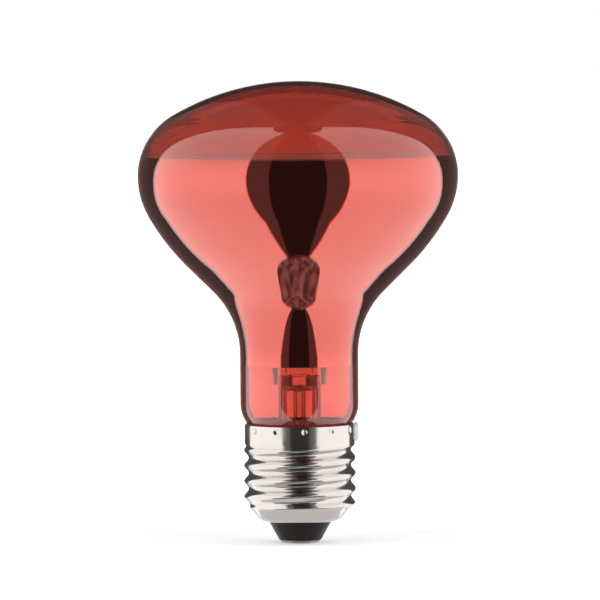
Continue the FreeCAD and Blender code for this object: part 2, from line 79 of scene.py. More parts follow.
def colour(name, description, *default):
    return FloatVectorProperty(name=name, description=description, default=default,
                               subtype="COLOR", size=3, min=0.0, max=1.0)


class BulbSizes(PropertyGroup):
    """The blown bulb and the film inside it."""
    top: length("Top", "Height of the dome above the contact", bulb_box[1][2])
    radius: length("Radius", "Radius at the widest place", bulb_radius)
    widest: length("Widest height", "Height of the widest place", 0.086602)
    shoulder: length("Shoulder", "Radius of the shoulder's arc", 0.0166)
    belly: length("Belly", "Radius of the arc under the widest place", 0.0196)
    belly_turn: angle("Belly turn", "How far the belly turns in", 30.2)
    side: length("Side", "Radius of the long arc above the cone", 0.056)
    cone_turn: angle("Cone", "Slant of the cone from upright", 45.3)
    flare: length("Flare", "Radius of the arc from cone to neck", 0.020449)
    neck: length("Neck", "Outer radius of the neck", 0.014)
    tuck_height: length("Tuck height", "Where the neck starts to draw in", 0.033)
    tuck: length("Tuck", "Radius of the outer arc of the tuck", 0.008)
    tuck_turn: angle("Tuck turn", "How far the tuck turns", 45.0)
    heel: length("Heel", "Radius of the inner arc of the tuck", 0.0035)
    seal: length("Seal", "Height of the seal with the glass mount", 0.0132)
    wall: length("Wall", "Thickness of the glass", 0.001)
    film_foot: length("Film foot", "Lower edge of the mirror film", 0.0421)
    film_top: length("Film top", "Upper edge of the mirror film", 0.0916)
    film_gap: length("Film gap", "Space between the glass and the film", 0.00002)
    film_fade: length("Film fade", "Width in which the film's upper edge thins out", 0.0006)
    film_drift: length("Film drift", "How far that edge wanders", 0.0002)
    dull_foot: length("Dull foot", "Below the upper edge, where the inside starts to dull", 0.008)
    dull_top: length("Dull top", "Below the upper edge, where the inside is dull", 0.003)
    pale_foot: length("Pale foot", "Where the glass starts to go from the neck's tint", 0.038)
    pale_top: length("Pale top", "Where the glass has the tint of the bulb", 0.046)
    pale_drift: length("Pale drift", "How far that change wanders", 0.002)
    facets: count("Facets", "Divisions round the bulb", 176)


class MountSizes(PropertyGroup):
    """The glass mount inside the neck."""
    press_foot: length("Press foot", "Lower end of the flat press", 0.0375)
    press_top: length("Press top", "Upper end of the flat press", 0.0485)
    jaw_depth: length("Jaw depth", "Depth of the marks that the jaws leave", 0.00004)
    jaw_edge: length("Jaw edge", "Width in which those marks fade", 0.0005)
    jaw_strength: number("Jaw strength", "Share of those marks over the drawn streaks", 4.0)


class ShellSizes(PropertyGroup):
    """The rolled screw shell and its punched collar."""
    rim: length("Rim", "Height of the collar's rim", 0.0281)
    collar: length("Collar", "Outer radius of the collar", 0.013)
    sheet: length("Sheet", "Thickness of the sheet metal", 0.0003)
    collar_foot: length("Collar foot", "Where the thread starts", 0.0236)
    crest: length("Crest", "Radius over the thread's crest", 0.01318)
    root: length("Root", "Radius in the thread's root", 0.01212)
    pitch: length("Pitch", "Rise of the thread in one turn", 0.003629)
    crest_height: length("Crest height", "Height of a crest towards the side solder", 0.01655)
    run_in: length("Run in", "Stretch in which the thread rises from the collar", 0.001)
    run_out: length("Run out", "Stretch in which the thread dies away", 0.0016)
    knee_height: length("Knee height", "Where the shell starts to draw in", 0.0104)
    knee: length("Knee", "Radius of the bend above the foot", 0.0025)
    foot_turn: angle("Foot slant", "Slant of the foot from upright", 38.0)
    thread_foot: length("Thread foot", "Lower end of the thread", 0.0078)
    foot: length("Foot", "Radius of the bend at the lip", 0.003)
    lip: length("Lip", "Height of the lip's underside", 0.00515)
    lip_run: length("Lip run", "Width of the flat lip", 0.00035)
    edge: length("Edge", "Rounding of the cut edges", 0.00008)
    punches: count("Punches", "Number of punch marks round the collar", 12)
    punch_height: length("Punch height", "Height of the punch marks", 0.0269)
    punch: length("Punch", "Radius of the punch's ball", 0.0009)
    punch_depth: length("Punch depth", "Depth of each mark", 0.00035)
    punch_first: angle("First punch", "Place of the first mark from the side solder", 5.3)
    notch_width: length("Notch width", "Width of the notch for the side wire", 0.0006)
    notch_depth: length("Notch depth", "Depth of the notch for the side wire", 0.00055)
    facets: count("Facets", "Divisions round the shell", 336)


class CoilSizes(PropertyGroup):
    """The wound filament."""
    height: length("Height", "Height of the coil's ring", 0.078)
    ring: length("Ring", "Radius of the ring", 0.012)
    outside: length("Outside", "Outer radius of the coil", 0.0004)
    wire: length("Wire", "Radius of the tungsten wire", 0.00008)
    pitch: length("Pitch", "Spacing of the turns", 0.00034)
    gap: angle("Gap", "Opening of the ring between the two rods", 70.0)
    clamp: length("Clamp", "Distance of each end from the middle of its rod", 0.00042)
    steps: count("Steps", "Points in one turn", 16)
    sides: count("Sides", "Sides of the wire", 6)


class Colours(PropertyGroup):
    """Colours of the finishes."""
    ruby: colour("Ruby glass", "Tint of one wall of the bulb", 0.64, 0.2, 0.15)
    ruby_neck: colour("Ruby neck", "Tint of one wall of the thinner neck", 0.72, 0.235, 0.185)
    film_warm: colour("Warm film", "Evaporated metal where it looks warm", 0.95, 0.92, 0.83)
    film_cool: colour("Cool film", "Evaporated metal where it looks cool", 0.91, 0.91, 0.95)
    clear: colour("Clear glass", "Glass of the mount", 0.99, 0.995, 0.99)
    nickel: colour("Nickel plate", "Plating of the shell", 0.46, 0.43, 0.41)
    insulator: colour("Insulator", "Black glass of the cap", 0.006, 0.0045, 0.004)
    contact: colour("Contact", "Tinned contact disc", 0.42, 0.4, 0.37)
    solder: colour("Solder", "Dull tin solder", 0.42, 0.41, 0.4)
    cement: colour("Cement", "Capping cement", 0.62, 0.55, 0.45)
    tungsten: colour("Tungsten", "Filament wire", 0.33, 0.31, 0.3)
    rod: colour("Rod", "Nickel rods of the mount", 0.66, 0.62, 0.57)
    copper: colour("Copper", "Outer leads", 0.83, 0.42, 0.27)
    hook: colour("Hook", "Molybdenum supports", 0.5, 0.49, 0.48)


class StudioSettings(PropertyGroup):
    """Camera, floor, softboxes and dark cards. Bearings count from the camera to each side."""
    distance: length("Distance", "From the lamp's axis to the camera", 1.6)
    height: length("Height", "Height of the camera", 0.142)
    aim: length("Aim", "Height that the camera looks at", 0.0573)
    aside: length("Aside", "How far beside the axis the camera looks", 0.0003)
    width: length("Width", "Width of the view at the lamp", 0.14115)
    roll: angle("Roll", "Turn of the camera about its line of sight", -0.4)
    softbox: number("Softbox", "Brightness of the two softboxes", 2.15)
    ambient: number("Ambient", "Light from all round on matt surfaces", 0.3)
    flag_front: number("Front flag", "Brightness of the dark card round the camera", 0.045)
    flag_back: number("Back flags", "Brightness of the dark cards beside the opening", 0.115)
    flag_wing: number("Wing flags", "Brightness of the cards beside it", 0.2)
    # Painted shade: a dark mottled spot on the floor in front of the cap, seen only in
    # reflections
    painted_shade_spot: number("Blot", "Brightness of the spot in front of the cap", 0.3)
    # Painted light: the skirt is a bright ring on the floor under the cap, where the lamp casts
    # its shadow, seen only in reflections
    skirt: number("Skirt", "Brightness of the floor under the cap", 1.1)
    tent: length("Tent", "Distance of the softboxes and cards", 0.9)
    head: angle("Head", "Rise at which the upright cards end", 80.0)
    front_edge: angle("Front edge", "Bearing between the front flag and a wing flag", 20.4)
    wing_edge: angle("Wing edge", "Bearing between a wing flag and a softbox", 37.0)
    back_edge: angle("Back edge", "Bearing between a softbox and a back flag", 126.0)
    back_edge_high: angle("High back edge", "The same from the tent's distance upwards", 117.0)
    gap_edge: angle("Gap edge", "Bearing between a back flag and the opening", 168.0)
    gap_rise: angle("Gap rise", "Rise at which the flag over the opening starts", 10.6)
    dark_floor: length("Dark floor", "Where the dark floor behind the lamp starts", 0.045)
    wing_turn: angle("Wing turn", "Half angle of the grey wedge on the floor", 38.0)
    wing_tip: length("Wing tip", "How far in front of the axis it starts", 0.024)
    flag_turn: angle("Flag turn", "Half angle of the dark wedge on the floor", 20.8)
    flag_tip: length("Flag tip", "How far in front of the axis it starts", 0.016)
    # Size and place of the painted shade spot in front of the cap
    painted_shade_radius: length("Blot radius", "Radius of the spot", 0.017)
    painted_shade_place: length("Blot place", "How far in front of the axis the spot lies", 0.021)
    skirt_radius: length("Skirt radius", "Radius of the floor under the cap", 0.0165)
    skirt_hole: length("Skirt hole", "Radius of the hole in it under the contact", 0.005)


GROUPS = (("lamp_bulb", BulbSizes), ("lamp_mount", MountSizes), ("lamp_shell", ShellSizes),
          ("lamp_coil", CoilSizes), ("lamp_colours", Colours), ("lamp_studio", StudioSettings))


# ---- node trees

class Term:
    """A number or vector in a node tree. Sums on numbers add Math nodes."""

    def __init__(self, tree, node, output=0):
        self.tree, self.node = tree, node
        self.socket = pick(node.outputs, output)

    def __getitem__(self, output):
        return Term(self.tree, self.node, output)

    def math(self, operation, *others):
        return self.tree.math(operation, self, *others)

    def __add__(self, other):
        return self.math("ADD", other)

    def __sub__(self, other):
        return self.math("SUBTRACT", other)

    def __rsub__(self, other):
        return self.tree.math("SUBTRACT", other, self)

    def __mul__(self, other):
        return self.math("MULTIPLY", other)

    def __truediv__(self, other):
        return self.math("DIVIDE", other)

    def __neg__(self):
        return self.math("MULTIPLY", -1.0)

    __radd__, __rmul__ = __add__, __mul__


def pick(sockets, key):
    """The socket of an index, or the one in use of a name."""
    if isinstance(key, int):
        return sockets[key]
    return next(socket for socket in sockets if socket.name == key and socket.enabled)


class Tree:
    """Adds nodes to a node tree."""

    def __init__(self, tree):
        self.tree = tree
        tree.nodes.clear()

    def node(self, kind, settings=None, sockets=None):
        """Adds a node with its settings and with values or links in its sockets."""
        made = self.tree.nodes.new(kind)
        for name, value in (settings or {}).items():
            setattr(made, name, value)
        for key, value in (sockets or {}).items():
            socket = pick(made.inputs, key)
            if isinstance(value, Term):
                self.tree.links.new(value.socket, socket)
            else:
                socket.default_value = value
        return Term(self, made) if made.outputs else made

    def math(self, operation, *values):
        return self.node("ShaderNodeMath", {"operation": operation}, dict(enumerate(values)))

    def blend(self, factor, first, second):
        """A colour between two."""
        first, second = [value if isinstance(value, Term) else (*value, 1.0)
                         for value in (first, second)]
        return self.node("ShaderNodeMix", {"data_type": "RGBA"},
                         {"Factor": factor, "A": first, "B": second})["Result"]

    def ease(self, value, low, high, start=0.0, end=1.0):
        """Goes smoothly from start to end as the value goes from low to high."""
        return self.node("ShaderNodeMapRange", {"interpolation_type": "SMOOTHSTEP"},
                         {"Value": value, "From Min": low, "From Max": high,
                          "To Min": start, "To Max": end})


class Finish(Tree):
    """A material with one main shader."""

    def __init__(self, name):
        self.material = bpy.data.materials.new(name)
        self.material.use_nodes = True
        super().__init__(self.material.node_tree)
        self.place = self.node("ShaderNodeTexCoord")["Object"]

    def axis(self, name):
        """How far a place lies along X, Y or Z."""
        return self.node("ShaderNodeSeparateXYZ", None, {"Vector": self.place})[name]

    def away(self):
        """How far a place lies from the upright axis."""
        x, y = self.axis("X"), self.axis("Y")
        return (x * x + y * y).math("SQRT")

    def noise(self, scale, detail=3.0, stretch=(1.0, 1.0, 1.0)):
        at = self.node("ShaderNodeMapping", None, {"Vector": self.place, "Scale": stretch})
        return self.node("ShaderNodeTexNoise", None,
                         {"Vector": at, "Scale": scale, "Detail": detail})

    def grey(self, level):
        """A colour with the same level in red, green and blue."""
        return self.node("ShaderNodeCombineColor", None,
                         {"Red": level, "Green": level, "Blue": level})

    def bump(self, height, distance, strength):
        return self.node("ShaderNodeBump", None,
                         {"Height": height, "Distance": distance, "Strength": strength})

    def shade(self, **sockets):
        """Ends the material. Keywords are the shader's sockets, with _ for a space."""
        named = {key.replace("_", " "): value for key, value in sockets.items()}
        shader = self.node("ShaderNodeBsdfPrincipled", None, named)
        self.node("ShaderNodeOutputMaterial", None, {"Surface": shader})
        return self.material


class Shaper(Tree):
    """A Geometry Nodes tree that ends in Realize Instances and Set Material."""

    def __init__(self, name, inputs):
        self.group = bpy.data.node_groups.new(name, "GeometryNodeTree")
        super().__init__(self.group)
        interface = self.group.interface
        interface.new_socket(name="Geometry", in_out="OUTPUT", socket_type="NodeSocketGeometry")
        interface.new_socket(name="Geometry", in_out="INPUT", socket_type="NodeSocketGeometry")
        for key, value in inputs.items():
            kind = "NodeSocketInt" if isinstance(value, int) else "NodeSocketFloat"
            interface.new_socket(name=key, in_out="INPUT", socket_type=kind)
        interface.new_socket(name="Material", in_out="INPUT", socket_type="NodeSocketMaterial")
        self.inputs = inputs
        self.given = self.node("NodeGroupInput")

    def apply(self, shape, start, material):
        """Ends the tree, runs it on an object and gives the result as a plain mesh object."""
        smooth = self.node("GeometryNodeSetShadeSmooth", None, {"Geometry": shape})
        real = self.node("GeometryNodeRealizeInstances", None, {"Geometry": smooth})
        done = self.node("GeometryNodeSetMaterial", None,
                         {"Geometry": real, "Material": self.given["Material"]})
        self.node("NodeGroupOutput", None, {"Geometry": done})
        modifier = start.modifiers.new(self.group.name, "NODES")
        modifier.node_group = self.group
        for item in self.group.interface.items_tree:
            if item.in_out == "INPUT" and item.name != "Geometry":
                modifier[item.identifier] = dict(self.inputs, Material=material)[item.name]
        bpy.context.view_layer.update()
        graph = bpy.context.evaluated_depsgraph_get()
        mesh = bpy.data.meshes.new_from_object(start.evaluated_get(graph), depsgraph=graph)
        start.modifiers.remove(modifier)
        start.data = mesh
        return start


# ---- meshes

SAG = 3e-6  # how far a chord may lie inside its arc, in metres
ON_AXIS = 1e-9  # a point nearer to the axis than this is a pole
SHARP = math.radians(50.0)  # an edge that turns by more than this stays sharp


class Outline:
    """Points of a half section: straight runs and tangent arcs from a place and a heading."""

    def __init__(self, x, z, heading):
        self.points, self.heading = [(x, z)], heading

    def run(self, length, parts=1):
        x, z = self.points[-1]
        for step in range(1, parts + 1):
            reach = length * step / parts
            self.points.append((x + reach * math.cos(self.heading),
                                z + reach * math.sin(self.heading)))
        return self

    def arc(self, radius, turn):
        """An arc that turns left, or right where the turn is negative."""
        x, z = self.points[-1]
        side = self.heading + math.copysign(math.pi / 2, turn)
        middle_x, middle_z = x + radius * math.cos(side), z + radius * math.sin(side)
        parts = max(2, math.ceil(abs(turn) / (2 * math.acos(1 - SAG / radius))))
        for step in range(1, parts + 1):
            spoke = side + math.pi + turn * step / parts
            self.points.append((middle_x + radius * math.cos(spoke),
                                middle_z + radius * math.sin(spoke)))
        self.heading += turn
        return self


def lathe(name, points, facets, closed=False):
    """A turned mesh from a half section, outwards where the section runs down outside."""
    on_axis = [x < ON_AXIS for x, z in points]
    corners, rows = [], []
    for (x, z), pole in zip(points, on_axis):
        start = len(corners)
        if pole:
            corners.append((0.0, 0.0, z))
            rows.append([start] * facets)
            continue
        for step in range(facets):
            turn = 2 * math.pi * step / facets
            corners.append((x * math.cos(turn), x * math.sin(turn), z))
        rows.append(list(range(start, start + facets)))
    faces = []
    for upper, lower in zip(rows, rows[1:] + (rows[:1] if closed else [])):
        for step in range(facets):
            after = (step + 1) % facets
            ring = [upper[step], lower[step], lower[after], upper[after]]
            faces.append([corner for place, corner in enumerate(ring)
                          if corner not in ring[:place]])
    return piece(name, corners, faces)


def piece(name, corners, faces):
    """A smooth mesh object that keeps its sharp edges."""
    mesh = bpy.data.meshes.new(name)
    mesh.from_pydata(corners, [], faces)
    mesh.validate()
    mesh.polygons.foreach_set("use_smooth", [True] * len(mesh.polygons))
    mesh.set_sharp_from_angle(angle=SHARP)
    made = bpy.data.objects.new(name, mesh)
    bpy.context.scene.collection.objects.link(made)
    return made


def bulb_skin(sizes, depth):
    """Half section of the bulb at a depth in its wall, from the dome down to the seal."""
    reach = sizes.radius - sizes.shoulder
    rise = sizes.top - sizes.widest
    crown = ((reach ** 2 + rise ** 2 - sizes.shoulder ** 2) / (2 * (rise - sizes.shoulder)))
    crown_turn = math.atan(reach / (crown - rise))
    cosine, sine = math.cos(sizes.cone_turn), math.sin(sizes.cone_turn)
    belly_cosine, belly_sine = math.cos(sizes.belly_turn), math.sin(sizes.belly_turn)
    cone_run = (sizes.radius - sizes.neck - sizes.belly * (1 - belly_cosine)
                - sizes.side * (belly_cosine - cosine) - sizes.flare * (1 - cosine)) / sine
    neck_top = (sizes.widest - sizes.belly * belly_sine - sizes.side * (sine - belly_sine)
                - cone_run * cosine - sizes.flare * sine)
    shank_top = sizes.tuck_height - (sizes.tuck + sizes.heel) * math.sin(sizes.tuck_turn)
    skin = Outline(0.0, sizes.top - depth, 0.0)
    skin.arc(crown - depth, -crown_turn)
    skin.arc(sizes.shoulder - depth, crown_turn - math.pi / 2)
    skin.arc(sizes.belly - depth, -sizes.belly_turn)
    skin.arc(sizes.side - depth, sizes.belly_turn - sizes.cone_turn)
    skin.run(cone_run, parts=8)
    skin.arc(sizes.flare + depth, sizes.cone_turn)
    skin.run(neck_top - sizes.tuck_height, parts=6)
    skin.arc(sizes.tuck - depth, -sizes.tuck_turn)
    skin.arc(sizes.heel + depth, sizes.tuck_turn)
    return skin.run(shank_top - sizes.seal, parts=4).points


def between(points, low, high):
    """The stretch of a falling section between two heights, cut at both."""
    kept = []
    for (x, z), (next_x, next_z) in zip(points, points[1:]):
        for edge in (high, low):
            if next_z < edge <= z:
                part = (z - edge) / (z - next_z)
                kept.append((x + (next_x - x) * part, edge))
        if low < next_z < high:
            kept.append((next_x, next_z))
    return kept


def shell_section(sizes):
    """Closed half section of the shell's sheet, without thread or marks."""
    mean = (sizes.crest + sizes.root) / 2
    rows_outside, rows_inside, hair = 110, 70, 1e-5

    def ease(value):
        value = min(max(value, 0.0), 1.0)
        return value * value * (3 - 2 * value)

    def middle(z):
        radius, drop = mean, max(sizes.knee_height - z, 0.0)
        bent = sizes.knee * math.sin(sizes.foot_turn)
        if drop < bent:
            radius -= sizes.knee - math.sqrt(sizes.knee ** 2 - drop ** 2)
        else:
            radius -= (sizes.knee * (1 - math.cos(sizes.foot_turn))
                       + (drop - bent) * math.tan(sizes.foot_turn))
        step = ease((z - sizes.collar_foot + sizes.run_in) / sizes.run_in)
        return radius + (sizes.collar - radius) * step

    def inner(z):
        slope = (middle(z + hair) - middle(z - hair)) / (2 * hair)
        return middle(z) - sizes.sheet * math.hypot(1, slope)

    quarter, edge = math.pi / 2, sizes.edge
    rim = Outline(sizes.collar - sizes.sheet + edge, sizes.rim, 0.0)
    rim.run(sizes.sheet - 2 * edge).arc(edge, -quarter)
    rim.run(sizes.rim - edge - sizes.collar_foot, parts=26)
    heights = np.linspace(sizes.collar_foot, sizes.thread_foot, rows_outside)[1:]
    outside = rim.points + [(middle(z), z) for z in heights]
    foot_bend = sizes.lip + sizes.foot * (1 - math.sin(sizes.foot_turn))
    foot = Outline(outside[-1][0], sizes.thread_foot, -quarter - sizes.foot_turn)
    foot.run((sizes.thread_foot - foot_bend) / math.cos(sizes.foot_turn))
    foot.arc(sizes.foot, sizes.foot_turn - quarter).run(sizes.lip_run - edge)
    foot.arc(edge, -quarter).run(sizes.sheet - 2 * edge).arc(edge, -quarter)
    foot.run(sizes.lip_run - edge).arc(sizes.foot - sizes.sheet, quarter - sizes.foot_turn)
    back = [(inner(z), z)
            for z in np.linspace(sizes.thread_foot, sizes.collar_foot, rows_inside)]
    lip = Outline(sizes.collar - sizes.sheet, sizes.collar_foot, quarter)
    lip.run(sizes.rim - edge - sizes.collar_foot, parts=20).arc(edge, -quarter)
    return outside + foot.points[1:] + back + lip.points[1:-1]


def threaded(sizes, blank, material):
    """Presses the rolled thread, the punch marks and the notch into a plain shell."""
    inputs = {"Collar foot": sizes.collar_foot, "Crest": sizes.crest, "Root": sizes.root,
              "Pitch": sizes.pitch, "Crest height": sizes.crest_height,
              "Run in": sizes.run_in, "Run out": sizes.run_out,
              "Thread foot": sizes.thread_foot, "Collar": sizes.collar,
              "Punches": sizes.punches, "Punch height": sizes.punch_height,
              "Punch": sizes.punch, "Punch depth": sizes.punch_depth,
              "First punch": sizes.punch_first, "Rim": sizes.rim,
              "Notch width": sizes.notch_width, "Notch depth": sizes.notch_depth}
    tree = Shaper("press_thread", inputs)
    given = tree.given
    place = tree.node("ShaderNodeSeparateXYZ", None,
                      {"Vector": tree.node("GeometryNodeInputPosition")})
    x, y, z = place["X"], place["Y"], place["Z"]
    turn = y.math("ARCTAN2", x)
    rise = tree.ease((given["Collar foot"] - z) / given["Run in"], 0.0, 1.0)
    fall = tree.ease((z - given["Thread foot"]) / given["Run out"], 0.0, 1.0)
    wave = ((z - given["Crest height"]) / given["Pitch"] * (2 * math.pi) - turn).math("COSINE")
    thread = (given["Crest"] - given["Root"]) * 0.5 * rise * fall * wave

    share = tree.math("DIVIDE", 2 * math.pi, given["Punches"])
    swing = tree.math("WRAP", turn - given["First punch"], share * 0.5, share * -0.5)
    across, along = swing * given["Collar"], z - given["Punch height"]
    left = given["Punch"] * given["Punch"] - across * across - along * along
    cap = left.math("MAXIMUM", 0.0).math("SQRT")
    dent = (cap - (given["Punch"] - given["Punch depth"])).math("MAXIMUM", 0.0)

    out = thread - dent
    radius = (x * x + y * y).math("SQRT")
    floor = given["Rim"] - given["Notch depth"]
    inside = y.math("ABSOLUTE").math("LESS_THAN", given["Notch width"] * 0.5)
    inside = inside * x.math("GREATER_THAN", 0.0)
    drop = (z - floor).math("MAXIMUM", 0.0) * inside
    offset = tree.node("ShaderNodeCombineXYZ", None,
                       {"X": x / radius * out, "Y": y / radius * out, "Z": -drop})
    moved = tree.node("GeometryNodeSetPosition", None,
                      {"Geometry": given["Geometry"], "Offset": offset})
    return tree.apply(moved, blank, material)


def wound(sizes, start, material):
    """Winds a wire round the ring that runs from one rod to the other."""
    clamp = math.asin(sizes.clamp / sizes.ring)
    span = 2 * math.pi - sizes.gap - 2 * clamp
    turns = span * sizes.ring / sizes.pitch
    inputs = {"Height": sizes.height, "Ring": sizes.ring, "Wire": sizes.wire,
              "Coil": sizes.outside - sizes.wire, "Turns": turns, "Span": span,
              "Start": -math.pi / 2 + sizes.gap / 2 + clamp,
              "Points": int(turns * sizes.steps)}
    tree = Shaper("wind_coil", inputs)
    given = tree.given
    line = tree.node("GeometryNodeCurvePrimitiveLine")
    line = tree.node("GeometryNodeResampleCurve", {"mode": "COUNT"},
                     {"Curve": line, "Count": given["Points"]})
    along = tree.node("GeometryNodeSplineParameter")["Factor"]
    turn = along * given["Span"] + given["Start"]
    twist = along * given["Turns"] * (2 * math.pi)
    reach = given["Ring"] + given["Coil"] * twist.math("COSINE")
    place = tree.node("ShaderNodeCombineXYZ", None,
                      {"X": reach * turn.math("COSINE"), "Y": reach * turn.math("SINE"),
                       "Z": given["Height"] + given["Coil"] * twist.math("SINE")})
    path = tree.node("GeometryNodeSetPosition", None, {"Geometry": line, "Position": place})
    ring = tree.node("GeometryNodeCurvePrimitiveCircle", None,
                     {"Resolution": sizes.sides, "Radius": given["Wire"]})["Curve"]
    wire = tree.node("GeometryNodeCurveToMesh", None,
                     {"Curve": path, "Profile Curve": ring, "Fill Caps": True})
    return tree.apply(wire, start, material)


# ---- finishes

def shaded(tone, share):
    """A colour made darker or lighter by a share."""
    return [value * share for value in tone]


def ruby_glass(colours, sizes):
    """Blown glass, dyed through, paler where the neck is drawn thin."""
    finish = Finish("ruby_glass")
    streak = finish.noise(26.0, detail=2.0, stretch=(1.0, 1.0, 0.35))
    height = finish.axis("Z") + (streak - 0.5) * sizes.pale_drift
    tint = finish.blend(finish.ease(height, sizes.pale_foot, sizes.pale_top),
                        colours.ruby_neck, colours.ruby)
    ripple = finish.noise(34.0, detail=1.0, stretch=(1.0, 1.0, 0.4))
    return finish.shade(Base_Color=tint, Roughness=0.0, IOR=1.6, Transmission_Weight=1.0,
                        Normal=finish.bump(ripple, distance=0.00003, strength=0.35))


def mirror_film(colours, sizes):
    """Evaporated metal, faintly tinted, dull on the inside where it thins out at the top."""
    finish = Finish("mirror_film")
    height, top = finish.axis("Z"), sizes.film_top
    cloud = finish.noise(60.0, detail=4.0)
    drift = finish.ease(finish.noise(22.0, detail=1.0), 0.3, 0.7)
    edge = height + (cloud - 0.5) * sizes.film_drift
    facing = finish.node("ShaderNodeVectorMath", {"operation": "DOT_PRODUCT"}, {
        0: finish.place, 1: finish.node("ShaderNodeNewGeometry")["Normal"]})["Value"]
    inside = facing.math("LESS_THAN", 0.0)
    dull = inside * finish.ease(height, top - sizes.dull_foot, top - sizes.dull_top,
                                start=0.0, end=0.45)
    return finish.shade(Base_Color=finish.blend(drift, colours.film_warm, colours.film_cool),
                        Metallic=1.0, Alpha=finish.ease(edge, top, top - sizes.film_fade),
                        Roughness=finish.ease(cloud, 0.3, 0.7, start=0.01, end=0.03) + dull)


def clear_glass(colours, sizes):
    """Lead glass of the mount, drawn smooth, with the marks of the jaws on its press."""
    finish = Finish("clear_glass")
    height, soft = finish.axis("Z"), sizes.jaw_edge
    drawn = finish.noise(180.0, detail=2.0, stretch=(1.0, 1.0, 0.2))
    jaws = (finish.ease(height, sizes.press_foot - soft, sizes.press_foot)
            * finish.ease(height, sizes.press_top + soft, sizes.press_top))
    knurl = finish.noise(1300.0, detail=2.0) * jaws * sizes.jaw_strength
    tint = finish.blend(drawn, colours.clear, shaded(colours.clear, 0.985))
    return finish.shade(Base_Color=tint, Roughness=jaws * 0.08 + 0.02, IOR=1.53,
                        Transmission_Weight=1.0,
                        Normal=finish.bump(drawn + knurl, sizes.jaw_depth, strength=0.4))


def nickel_plate(colours):
    """Bright plated sheet with fine drawing lines and a little haze."""
    finish = Finish("nickel_plate")
    haze = finish.noise(240.0, detail=4.0)
    lines = finish.noise(900.0, detail=2.0, stretch=(0.15, 0.15, 3.0))
    tone = finish.blend(haze, colours.nickel, shaded(colours.nickel, 0.9))
    rough = finish.ease(haze, 0.35, 0.75, start=0.13, end=0.22) + (lines - 0.5) * 0.03
    return finish.shade(Base_Color=tone, Metallic=1.0, Roughness=rough,
                        Normal=finish.bump(lines, distance=0.000004, strength=0.25))


def metal(name, tone, rough, scale, depth, stretch=(1.0, 1.0, 1.0)):
    """Matt or drawn metal with a grain of its own."""
    finish = Finish(name)
    speck = finish.noise(scale, detail=4.0, stretch=stretch)
    return finish.shade(
        Base_Color=finish.blend(speck, tone, shaded(tone, 0.72)), Metallic=1.0,
        Roughness=finish.ease(speck, 0.3, 0.75, start=rough, end=rough + 0.18),
        Normal=finish.bump(speck, depth, strength=0.4))


def black_glass(colours):
    """Poured black glass, dull from the mould."""
    finish = Finish("black_glass")
    mould = finish.noise(420.0, detail=5.0)
    swirl = finish.noise(70.0, detail=2.0)
    tone = finish.blend(swirl, colours.insulator, shaded(colours.insulator, 1.8))
    return finish.shade(Base_Color=tone, IOR=1.5, Specular_IOR_Level=0.15,
                        Normal=finish.bump(mould, distance=0.00003, strength=0.4),
                        Roughness=finish.ease(mould, 0.3, 0.7, start=0.3, end=0.5))


def cement(colours):
    """Baked capping cement, grainy."""
    finish = Finish("cement")
    grain = finish.noise(1100.0, detail=6.0)
    patch = finish.noise(160.0, detail=3.0)
    tone = finish.blend(patch, colours.cement, shaded(colours.cement, 0.6))
    return finish.shade(Base_Color=tone,
                        Normal=finish.bump(grain, distance=0.00012, strength=0.8),
                        Roughness=finish.ease(grain, 0.2, 0.8, start=0.75, end=0.95))


def dress(node, material):
    """Gives a node of the frame its finish."""
    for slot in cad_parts[node].material_slots:
        slot.material = material


def fit(made, node, material=None):
    """Puts a finished piece in place of a node of the frame, or beside them."""
    if material:
        made.data.materials.clear()
        made.data.materials.append(material)
    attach(made, "root")
    if node:
        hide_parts(node)


# ---- operators

class HEATLAMP_OT_blow_bulb(Operator):
    """Blow the ruby bulb, one closed wall of glass from the dome to the seal"""
    bl_idname = "heatlamp.blow_bulb"
    bl_label = "Blow bulb"

    def execute(self, context):
        sizes, colours = context.scene.lamp_bulb, context.scene.lamp_colours
        wall = bulb_skin(sizes, 0.0) + bulb_skin(sizes, sizes.wall)[::-1]
        bulb = lathe("ruby_bulb", wall, sizes.facets)
        bulb.visible_shadow = False
        fit(bulb, "glass_envelope", ruby_glass(colours, sizes))
        return {"FINISHED"}


class HEATLAMP_OT_coat_bulb(Operator):
    """Coat the inside of the cone and the neck with the mirror film"""
    bl_idname = "heatlamp.coat_bulb"
    bl_label = "Coat bulb"

    def execute(self, context):
        sizes, colours = context.scene.lamp_bulb, context.scene.lamp_colours
        outer = between(bulb_skin(sizes, sizes.wall + sizes.film_gap),
                        sizes.film_foot, sizes.film_top)
        inner = between(bulb_skin(sizes, sizes.wall + 2 * sizes.film_gap),
                        sizes.film_foot, sizes.film_top)
        film = lathe("mirror_film", outer + inner[::-1], sizes.facets, closed=True)
        fit(film, None, mirror_film(colours, sizes))
        return {"FINISHED"}


class HEATLAMP_OT_roll_shell(Operator):
    """Roll the screw shell with its punched collar"""
    bl_idname = "heatlamp.roll_shell"
    bl_label = "Roll shell"

    def execute(self, context):
        sizes, colours = context.scene.lamp_shell, context.scene.lamp_colours
        blank = lathe("screw_shell", shell_section(sizes), sizes.facets, closed=True)
        fit(threaded(sizes, blank, nickel_plate(colours)), "cap_shell")
        return {"FINISHED"}


class HEATLAMP_OT_wind_coil(Operator):
    """Wind the tungsten filament between its two rods"""
    bl_idname = "heatlamp.wind_coil"
    bl_label = "Wind coil"

    def execute(self, context):
        sizes, colours = context.scene.lamp_coil, context.scene.lamp_colours
        material = metal("tungsten", colours.tungsten, rough=0.35, scale=900.0, depth=0.00001)
        start = piece("coiled_filament", [(0.0, 0.0, 0.0)], [])
        fit(wound(sizes, start, material), "filament")
        return {"FINISHED"}


